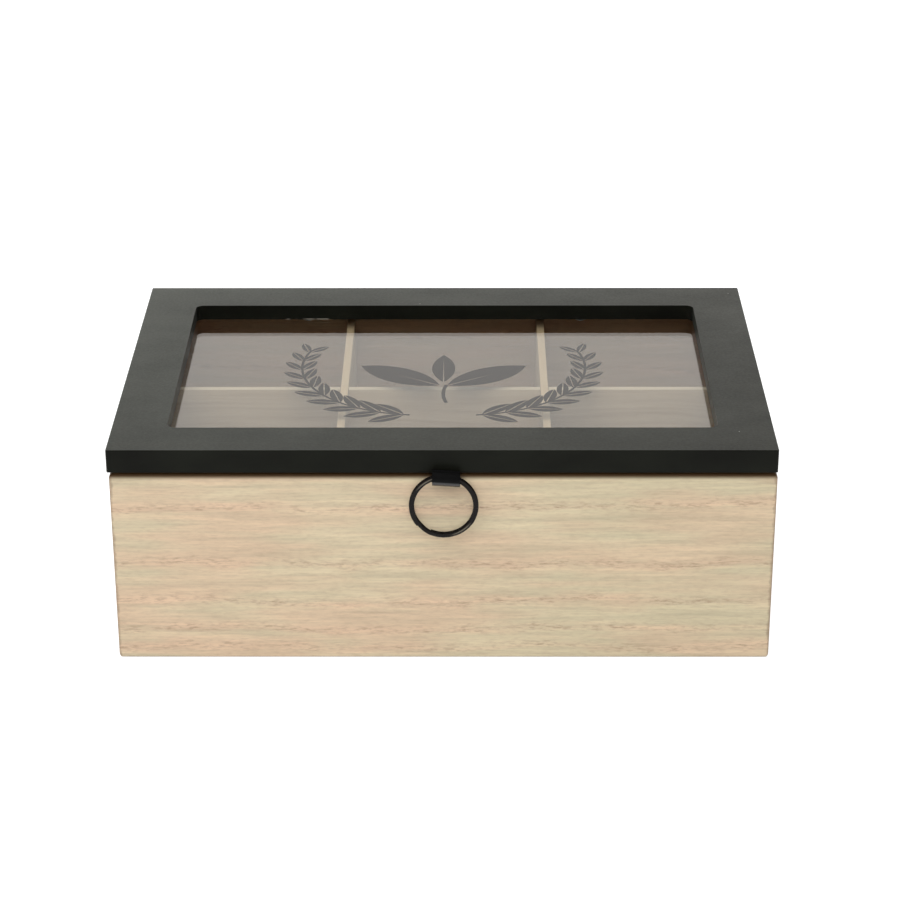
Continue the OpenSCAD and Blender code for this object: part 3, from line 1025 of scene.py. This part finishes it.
@dataclass
class Hinges:
    """Two pressed butt hinges with their pins and screws. Lengths are in millimetres."""

    sheet_edge: float = 0.06
    pin_edge: float = 0.06
    screw_edge: float = 0.03

    def build(self) -> None:
        """Builds and dresses the leaves, the pins and the screws."""
        sheet = Metal("brass_sheet_pressed", "D2AE62", "A9803F", (6.0, 0.15, 0.15), 0.32).material()
        turned = Metal("brass_screws_turned", "D8B56B", "A37C40", (0.4, 0.4, 0.1), 0.28).material()
        wire = Metal("steel_wire_drawn", "B9BABC", "8D8A85", (5.0, 0.1, 0.1), 0.25).material()
        for side in ("left", "right"):
            for part, piece, edge, finish, body, slot in (
                ("box_leaf", "hinge_box_leaf", self.sheet_edge, sheet, Body.BOX, "hinge_brass"),
                ("lid_leaf", "hinge_lid_leaf", self.sheet_edge, sheet, Body.LID, "hinge_brass"),
                ("hinge_pin", "hinge_pin_wire", self.pin_edge, wire, Body.BOX, "pin_steel"),
            ):
                finish_piece(refined_copy(f"{side}_{part}", f"{side}_{piece}", edge), finish, body)
        for near, body in (("box", Body.BOX), ("lid", Body.LID)):
            screws = refined_copy(f"{near}_leaf_screws", f"screws_in_the_{near}", self.screw_edge)
            finish_piece(screws, turned, body)


@dataclass
class Ornament:
    """A printed sprig of tea leaves in an open wreath, on the underside of the glass.

    Lengths are in millimetres and angles in degrees.
    """

    glass_low: float = 76.8
    ink: float = 0.04
    middle: Pair = (-0.35, -6.0)
    wreath_apart: float = 8.0
    wreath_rise: float = 19.0
    wreath_r: float = 47.0
    lift: float = 0.005
    half_rib: float = 0.28
    rib_slope: float = 0.012
    leaf_pairs: int = 10
    first_pair: float = -82.0
    pair_step: float = 11.0
    longest: float = 15.0
    shorter: float = 0.6
    slimness: float = 0.36
    leaf_lean: float = 34.0

    def leaf(self, name: str, length: float, width: float, place: Pair, turn: float) -> Object:
        """Cuts a pointed leaf with an open midrib out of two arcs.

        Args:
            name: The piece's name.
            length: Its length.
            width: Its width.
            place: Where its foot lies.
            turn: Its direction in degrees from +X.

        Returns:
            The leaf.
        """
        radius = (length ** 2 / 4 + width ** 2 / 4) / width
        deselect_all()
        bpy.ops.mesh.primitive_circle_add(
            vertices=96, radius=radius * MM, fill_type="NGON",
            location=(length / 2 * MM, (width / 2 - radius) * MM, 0))
        half = start_piece(name)
        bpy.ops.mesh.bisect(
            plane_co=(0, self.half_rib * MM, 0), plane_no=(self.rib_slope, 1, 0), clear_inner=True)
        bpy.ops.object.mode_set(mode="OBJECT")
        mirror = half.modifiers.new("other_half", "MIRROR")
        mirror.use_axis = (False, True, False)
        mirror.use_mirror_merge = False
        bpy.ops.object.modifier_apply(modifier=mirror.name)
        self.lay(half, place, turn)
        return half

    def lay(self, piece: Object, place: Pair, turn: float) -> None:
        """Turns a flat shape, gives it the ink's thickness and lays it in the print.

        Args:
            piece: The flat shape.
            place: Where its own zero lies in the print.
            turn: Its direction in degrees from +X.
        """
        piece.rotation_euler = (0.0, 0.0, math.radians(turn))
        piece.location = (
            (self.middle[0] + place[0]) * MM, (self.middle[1] + place[1]) * MM, (self.glass_low + self.lift) * MM)
        take(piece)
        bpy.ops.object.transform_apply()
        edit_all(piece)
        bpy.ops.mesh.extrude_region_move(TRANSFORM_OT_translate={"value": (0, 0, self.ink * MM)})
        bpy.ops.object.mode_set(mode="OBJECT")

    def stem(self, name: str, foot: Pair, radius: float, start: float, sweep: float, width: float) -> Object:
        """Spins a short edge into a curved stem.

        Args:
            name: The piece's name.
            foot: Centre of the arc.
            radius: Radius of the arc.
            start: Angle at which it starts, in degrees.
            sweep: Degrees that it covers.
            width: Its width.

        Returns:
            The stem.
        """
        deselect_all()
        bpy.ops.mesh.primitive_plane_add(size=width * MM, location=(radius * MM, 0, 0))
        piece = start_piece(name)
        pick(piece, Element.EDGE, lambda middle: middle.y > 0.2 * width * MM)
        bpy.ops.mesh.spin(steps=24, angle=math.radians(sweep), center=(0, 0, 0), axis=(0, 0, -1))
        bpy.ops.object.mode_set(mode="OBJECT")
        self.lay(piece, foot, start)
        return piece

    def build(self, ink: Material) -> None:
        """Prints the ornament.

        Args:
            ink: The ink's finish.
        """
        shapes = [
            self.leaf("bud", 27.0, 9.0, (0.0, 3.0), 90.0),
            self.leaf("left_leaf", 36.0, 14.0, (-1.4, 0.0), 148.0),
            self.leaf("right_leaf", 36.0, 14.0, (1.4, 0.0), 32.0),
            self.stem("sprig_stem", (30.0, -8.0), 30.0, 165.0, 30.0, 1.4),
        ]
        for side in (-1, 1):
            middle = (side * self.wreath_apart, self.wreath_rise)
            for place in range(self.leaf_pairs):
                angle = math.radians(self.first_pair + place * self.pair_step)
                foot = (
                    middle[0] + side * self.wreath_r * math.cos(angle),
                    middle[1] + self.wreath_r * math.sin(angle))
                run = math.degrees(angle) + 90.0
                run = run if side > 0 else 180.0 - run
                length = self.longest - self.shorter * place
                for lean in (-self.leaf_lean, self.leaf_lean):
                    name = f"wreath_{side}_{place}_{lean:.0f}"
                    shapes.append(self.leaf(name, length, length * self.slimness, foot, run + lean))
            start = 276.0 if side > 0 else 161.0
            shapes.append(self.stem(f"wreath_stem_{side}", middle, self.wreath_r, start, 103.0, 1.0))
        deselect_all()
        for shape in shapes:
            shape.select_set(True)
        bpy.context.view_layer.objects.active = shapes[0]
        bpy.ops.object.join()
        print_piece = bpy.context.object
        print_piece.name = "printed_ornament"
        settle(print_piece)
        finish_piece(print_piece, ink, Body.LID)


@dataclass
class Lid:
    """The painted lid board with its glass, its print and its glazing points. Lengths are in millimetres."""

    point_edge: float = 0.05

    def build(self) -> None:
        """Builds and dresses the board, the glass, the print and the points."""
        finish_piece(refined_copy("lid_frame", "lid_board"), MattBlackPaint().material(), Body.LID)
        dress_node("glass_pane", FloatGlass().material())
        Ornament().build(PrintInk().material())
        zinc = Metal("steel_sheet_zinc_plated", "C3C5C8", "9FA1A2", (1.5, 1.5, 0.2), 0.36).material()
        points = refined_copy("glazing_points", "glazing_point_plates", self.point_edge)
        finish_piece(points, zinc, Body.LID)


@dataclass
class Pull:
    """The folded strap, its staple and the split ring. Lengths are in millimetres and angles in degrees."""

    strap_x: float = 1.15
    strap_w: float = 10.0
    strap_t: float = 0.5
    strap_back: float = -66.0
    bend: float = -80.0
    seam_middle: float = 75.5
    loop_y: float = -82.9832
    loop_z: float = 75.05
    loop_r: float = 2.2332
    tilt: float = 0.35
    ring_x: float = 0.25
    ring_z: float = 64.397
    ring_r: float = 12.5
    wire_w: float = 1.9
    wire_t: float = 0.8
    turn_space: float = 0.1
    run_end: float = 1.2
    throat_from: float = 0.9
    throat_steps: int = 6
    throat_bow: float = 1.8
    tilt_from: float = 0.4
    strap_edge: float = 0.09
    wire_edge: float = 0.08
    loop_steps: int = 36
    turn_steps: int = 150
    cross_steps: int = 12
    cut_angle: float = 219.0
    cross_angle: float = 26.0

    def build(self) -> None:
        """Builds and dresses the strap, the staple and the ring."""
        finish_piece(self.build_strap(), Leathercloth().material(), Body.LID)
        zinc = Metal("steel_wire_galvanised", "C8CACC", "A2A3A3", (0.3, 0.3, 0.3), 0.4).material()
        finish_piece(refined_copy("strap_staple", "staple_wire"), zinc, Body.LID)
        lacquer = LacqueredWire(centre=(self.ring_x, self.ring_z), middle=self.ring_r - self.wire_w / 2)
        finish_piece(self.build_ring(), lacquer.material(), Body.RING)

    def build_strap(self) -> Object:
        """Folds a flat band round the ring: out along the seam, round the loop and back again.

        Returns:
            The strap, which replaces its CAD node.
        """
        layer = self.strap_t / 2
        radius = self.loop_r + layer
        low, high = self.seam_middle - layer, self.seam_middle + layer
        away = self.bend - self.loop_y
        meet = math.acos(radius / math.hypot(away, self.seam_middle - self.loop_z))
        deselect_all()
        bpy.ops.mesh.primitive_plane_add(size=self.strap_w * MM, location=(self.strap_x * MM, 0, low * MM))
        strap = start_piece("folded_strap")
        pick(strap, Element.POINT, lambda middle: middle.y > 0)
        bpy.ops.transform.translate(value=(0, (self.strap_back - self.strap_w / 2) * MM, 0))
        pick(strap, Element.POINT, lambda middle: middle.y > -0.02)
        bpy.ops.transform.translate(value=(0, (self.bend + self.run_end + self.strap_w / 2) * MM, 0))
        front = min(point.co.y for point in bmesh.from_edit_mesh(strap.data).verts)
        pick(strap, Element.EDGE, lambda middle: abs(middle.y - front) < 1e-6)
        self.extend((self.bend + self.run_end, low), self.throat(meet, radius, low))
        bpy.ops.mesh.spin(
            steps=self.loop_steps, angle=math.radians(360) - 2 * meet, axis=(1, 0, 0),
            center=(self.strap_x * MM, self.loop_y * MM, self.loop_z * MM))
        leaves = (self.loop_y + radius * math.cos(meet), self.loop_z + radius * math.sin(meet))
        rising = [(y, self.seam_middle * 2 - z) for y, z in reversed(self.throat(meet, radius, low)[:-1])]
        self.extend(leaves, rising + [(self.bend + self.run_end, high), (self.strap_back, high)])
        for side in (-1, 1):
            pick(
                strap, Element.POINT, lambda middle: (middle.x - self.strap_x * MM) * side > 0
                and middle.y < (self.bend - self.tilt_from) * MM)
            bpy.ops.transform.translate(value=(0, 0, -side * self.tilt * MM))
        bpy.ops.object.mode_set(mode="OBJECT")
        wall = strap.modifiers.new("thickness", "SOLIDIFY")
        wall.thickness = self.strap_t * MM
        wall.offset = 0.0
        wall.use_even_offset = True
        ease_edges(strap, self.strap_edge, 50.0)
        settle(strap, 40.0)
        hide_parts("pull_strap")
        return strap

    def extend(self, start: Pair, points: list[Pair]) -> None:
        """Extrudes the selected end of the band from point to point.

        Args:
            start: Y and Z of the end's middle.
            points: Y and Z of each point that it reaches.
        """
        here = Vector((0.0, *start))
        for point in points:
            there = Vector((0.0, *point))
            bpy.ops.mesh.extrude_region_move(TRANSFORM_OT_translate={"value": tuple((there - here) * MM)})
            here = there

    def throat(self, meet: float, radius: float, low: float) -> list[Pair]:
        """Gives the points where the lower layer leaves the seam and runs into the loop.

        Args:
            meet: Angle at which it touches the loop, from the loop's back.
            radius: Radius of the band's middle in the loop.
            low: Height of the lower layer's middle.

        Returns:
            Y and Z of each point, the last one on the loop.
        """
        end_y = self.loop_y + radius * math.cos(meet)
        end_z = self.loop_z - radius * math.sin(meet)
        start_y = self.bend + self.throat_from
        points = []
        for step in range(1, self.throat_steps + 1):
            share = step / self.throat_steps
            bow = share ** self.throat_bow
            points.append((start_y + (end_y - start_y) * share, low + (end_z - low) * bow))
        return points

    def build_ring(self) -> Object:
        """Winds the flat wire: a front turn, the crossing and a back turn in one length.

        Returns:
            The ring, which replaces its CAD node.
        """
        middle = self.ring_r - self.wire_w / 2
        lift = (self.wire_t + self.turn_space) / 2
        cut = math.radians(self.cut_angle)
        centre = Vector((self.ring_x, self.loop_y, self.ring_z)) * MM
        start = centre + Vector((middle * math.cos(cut), -lift, middle * math.sin(cut))) * MM
        deselect_all()
        bpy.ops.mesh.primitive_circle_add(
            vertices=24, radius=0.5, fill_type="NGON", location=start, rotation=(0, -cut, 0))
        ring = bpy.context.object
        ring.name = "split_ring_wire"
        ring.scale = (self.wire_w * MM, self.wire_t * MM, 1.0)
        bpy.ops.object.transform_apply(location=False, rotation=False)
        edit_all(ring)
        turn = -math.radians(360.0 - self.cross_angle)
        bpy.ops.mesh.spin(steps=self.turn_steps, angle=turn, center=centre, axis=(0, 1, 0))
        part = -math.radians(self.cross_angle / self.cross_steps)
        before = -1.0
        for step in range(1, self.cross_steps + 1):
            bpy.ops.mesh.spin(steps=1, angle=part, center=centre, axis=(0, 1, 0))
            after = -math.cos(math.pi * step / self.cross_steps)
            bpy.ops.transform.translate(value=(0, (after - before) * lift * MM, 0))
            before = after
        bpy.ops.mesh.spin(steps=self.turn_steps, angle=turn, center=centre, axis=(0, 1, 0))
        bpy.ops.object.mode_set(mode="OBJECT")
        ease_edges(ring, self.wire_edge, 60.0)
        settle(ring, 40.0)
        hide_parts("split_ring")
        return ring


def main() -> None:
    """Builds the studio and the box, piece by piece."""
    logging.basicConfig(level=logging.INFO, format="%(name)s: %(message)s")
    Studio().build()
    Carcass().build()
    Hinges().build()
    Lid().build()
    Pull().build()


if __name__ == "__main__":
    main()
